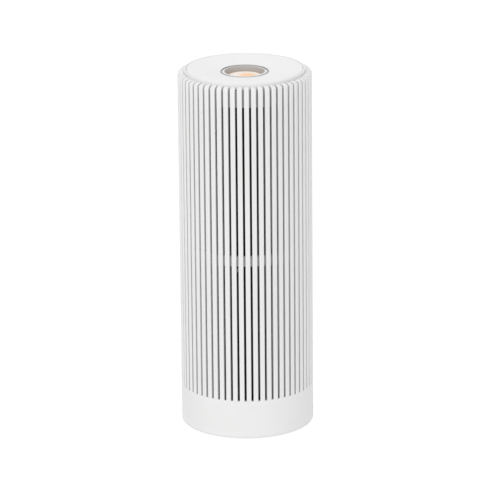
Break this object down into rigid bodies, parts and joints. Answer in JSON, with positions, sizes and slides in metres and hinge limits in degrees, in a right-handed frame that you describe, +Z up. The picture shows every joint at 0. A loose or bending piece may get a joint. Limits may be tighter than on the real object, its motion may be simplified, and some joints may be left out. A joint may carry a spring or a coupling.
{
  "type": "air purifier",
  "caption": "Slim round air purifier: ribbed slotted sleeve on a smooth base band, lift-out filter cartridge, and a lid module with fan and lit push button in the central air outlet.",
  "frame": {"origin": "on the ground under the middle of the round body, at the plane of the feet", "axes": "+Z up along the body's axis, -Y to the front, +Y to the power inlet"},
  "size_m": [0.14, 0.14, 0.386],
  "materials": {
    "white_shell": "fine satin moulded plastic",
    "white_top": "fine satin moulded plastic",
    "white_inner": "plain moulded plastic",
    "throat_plastic": "satin moulded plastic",
    "fan_plastic": "glass-filled plastic",
    "black_plastic": "black moulded plastic",
    "filter_netting": "moulded net",
    "light_diffuser": "translucent diffuser",
    "glow_diffuser": "translucent diffuser, lit warm",
    "trim_metal": "satin",
    "charcoal_cloth": "woven mesh cloth",
    "closure_tape": "hook-and-loop tape",
    "tab_cloth": "woven ribbon",
    "carbon_felt": "carbon-filled felt",
    "filter_paper": "pleated glass-fibre paper",
    "seal_foam": "closed-cell foam",
    "foot_rubber": "matt rubber",
    "cable_white": "ribbon cable",
    "circuit_board": "solder mask",
    "light_board_white": "white solder mask",
    "contact_brass": "plated",
    "winding_copper": "enamelled copper",
    "magnet_ferrite": "sintered",
    "ballast_steel": "plain steel",
    "screw_steel": "zinc plated",
    "bearing_steel": "ground steel",
    "spring_steel": "spring wire"
  },
  "bodies": {
    "housing": {"sleeve": "white_shell", "base_plate": "white_inner", "feet": "foot_rubber", "base_screws": "screw_steel", "ballast_plate": "ballast_steel", "power_board": "circuit_board", "dc_jack": "black_plastic", "filter_deck": "white_inner", "deck_screws": "screw_steel", "riser_cable": "cable_white", "contact_block": "black_plastic", "contact_pads": "contact_brass"},
    "cartridge": {"filter_bottom_cap": "white_inner", "filter_top_cap": "white_inner", "filter_core": "filter_netting", "carbon_liner": "carbon_felt", "pleated_media": "filter_paper", "prefilter_wrap": "charcoal_cloth", "wrap_closure": "closure_tape", "wrap_snap": "white_inner", "filter_seal": "seal_foam", "pull_tab": "tab_cloth", "tab_rivets": "screw_steel"},
    "lid_module": {"lid_shell": "white_shell", "top_plate": "white_top", "trim_ring": "trim_metal", "light_ring": "light_diffuser", "outlet_throat": "throat_plastic", "fan_duct": "white_inner", "inlet_guard": "white_inner", "vane_hub": "throat_plastic", "motor_board": "circuit_board", "motor_core": "ballast_steel", "motor_windings": "winding_copper", "bearing_lower": "bearing_steel", "bearing_upper": "bearing_steel", "control_board": "circuit_board", "air_sensor": "black_plastic", "light_board": "light_board_white", "button_switch": "black_plastic", "lid_screws": "screw_steel", "fan_screws": "screw_steel", "lid_seal": "seal_foam", "lid_contacts": "contact_brass", "button_spring": "spring_steel"},
    "fan_wheel": {"impeller": "fan_plastic", "rotor_magnet": "magnet_ferrite", "motor_shaft": "bearing_steel"},
    "button": {"glow_button": "glow_diffuser"}
  },
  "joints": [
    {"name": "cartridge_lift", "type": "slide", "parent": "housing", "child": "cartridge", "axis": [0, 0, 1], "range_m": [0, 0.36]},
    {"name": "lid_lift", "type": "slide", "parent": "cartridge", "child": "lid_module", "axis": [0, 0, 1], "range_m": [0, 0.12]},
    {"name": "fan_spin", "type": "hinge", "parent": "lid_module", "child": "fan_wheel", "pos_m": [0, 0, 0.315], "axis": [0, 0, 1], "continuous": true},
    {"name": "button_press", "type": "slide", "parent": "lid_module", "child": "button", "axis": [0, 0, -1], "range_m": [0, 0.0012], "stiffness_N_per_m": 900, "springref_m": -0.001, "deforming": ["button_spring"]}
  ]
}
